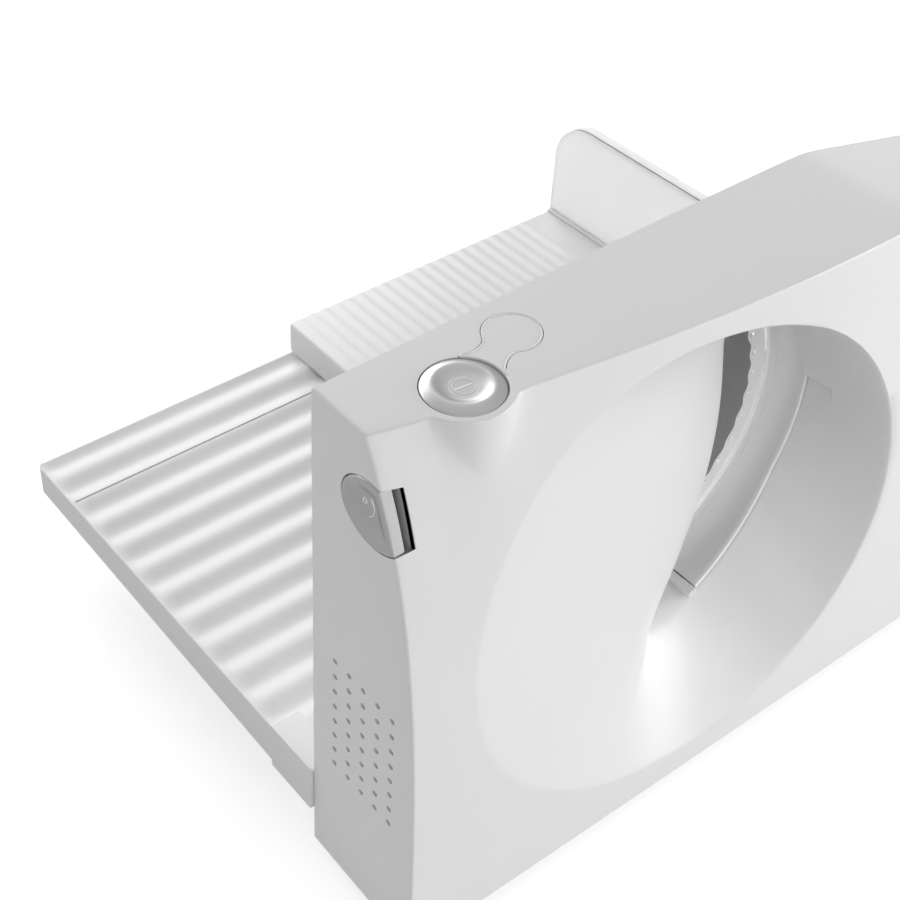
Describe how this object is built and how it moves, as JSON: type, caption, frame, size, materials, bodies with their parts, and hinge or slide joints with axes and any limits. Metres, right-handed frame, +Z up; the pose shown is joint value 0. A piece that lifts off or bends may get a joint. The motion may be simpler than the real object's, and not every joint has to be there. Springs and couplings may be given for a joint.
{
  "type": "electric food slicer",
  "caption": "White electric food slicer with a round slice chute, disc blade, thickness fence and knob, and a feed carriage sliding on a corrugated tray.",
  "frame": {"origin": "centre of the bounding box's bottom face, on the counter", "axes": "+X along the housing from its button end to its knob end, +Y from the housing towards the feed tray, +Z up"},
  "size_m": [0.38, 0.3144, 0.2623],
  "materials": {
    "white_plastic": "satin",
    "frosted_plastic": "frosted",
    "grey_plastic": "matte",
    "black_plastic": "matte",
    "blade_steel": "polished",
    "plain_steel": "satin",
    "satin_metal": "satin",
    "aluminium": "satin",
    "bronze": "satin",
    "rubber": "matte",
    "gear_nylon": "matte"
  },
  "bodies": {
    "slicer_body": {"housing_shell": "white_plastic", "rear_cover": "white_plastic", "drive_plate": "aluminium", "axle_bridge": "plain_steel", "blade_axle": "plain_steel", "tray": "white_plastic", "slide_rail": "aluminium", "base_beam": "white_plastic", "base_arm_near": "white_plastic", "base_arm_far": "white_plastic", "foot_front_near": "rubber", "foot_front_far": "rubber", "foot_rear_near": "rubber", "foot_rear_far": "rubber", "switch_inlay": "white_plastic", "power_switch": "black_plastic", "switch_shelf": "grey_plastic", "terminal_block": "grey_plastic", "motor_can": "plain_steel", "motor_bracket": "plain_steel", "motor_bearing": "bronze", "worm_bearing": "bronze", "fence_guide_near": "plain_steel", "fence_guide_far": "plain_steel", "cord_inlet": "black_plastic"},
    "blade": {"blade_disc": "blade_steel", "hub_cap": "satin_metal", "gear_wheel": "gear_nylon", "hub_bush": "bronze"},
    "rotor": {"motor_shaft": "plain_steel", "worm": "plain_steel", "cooling_fan": "grey_plastic"},
    "knob": {"thickness_knob": "white_plastic", "knob_spindle": "plain_steel"},
    "fence": {"fence_plate": "aluminium", "fence_carrier": "grey_plastic"},
    "carriage": {"carriage_deck": "frosted_plastic", "push_plate": "frosted_plastic", "guide_shoe": "grey_plastic"},
    "power_button": {"power_button": "satin_metal", "power_stem": "grey_plastic"},
    "lock_button": {"lock_button": "satin_metal", "lock_stem": "grey_plastic"}
  },
  "joints": [
    {"name": "blade_spin", "type": "hinge", "parent": "slicer_body", "child": "blade", "pos_m": [-0.0276, -0.0778, 0.1478], "axis": [0, -1, 0], "continuous": true},
    {"name": "motor_spin", "type": "hinge", "parent": "slicer_body", "child": "rotor", "pos_m": [-0.1745, -0.0945, 0.1208], "axis": [1, 0, 0], "continuous": true},
    {"name": "knob_turn", "type": "hinge", "parent": "slicer_body", "child": "knob", "pos_m": [0.132, -0.1399, 0.11], "axis": [0, -1, 0], "range_deg": [0, 300]},
    {"name": "fence_slide", "type": "slide", "parent": "slicer_body", "child": "fence", "axis": [0, -1, 0], "range_m": [0, 0.014]},
    {"name": "carriage_slide", "type": "slide", "parent": "slicer_body", "child": "carriage", "axis": [1, 0, 0], "range_m": [-0.15, 0.02]},
    {"name": "power_press", "type": "slide", "parent": "slicer_body", "child": "power_button", "axis": [0, 0, -1], "range_m": [0, 0.003], "stiffness_N_per_m": 600, "springref_m": -0.002},
    {"name": "lock_press", "type": "slide", "parent": "slicer_body", "child": "lock_button", "axis": [1, 0, 0], "range_m": [0, 0.003], "stiffness_N_per_m": 600, "springref_m": -0.002}
  ],
  "couplings": [
    {"joint": "motor_spin", "follows": "blade_spin", "ratio": 28},
    {"joint": "knob_turn", "follows": "fence_slide", "rad_per_m": 374}
  ]
}
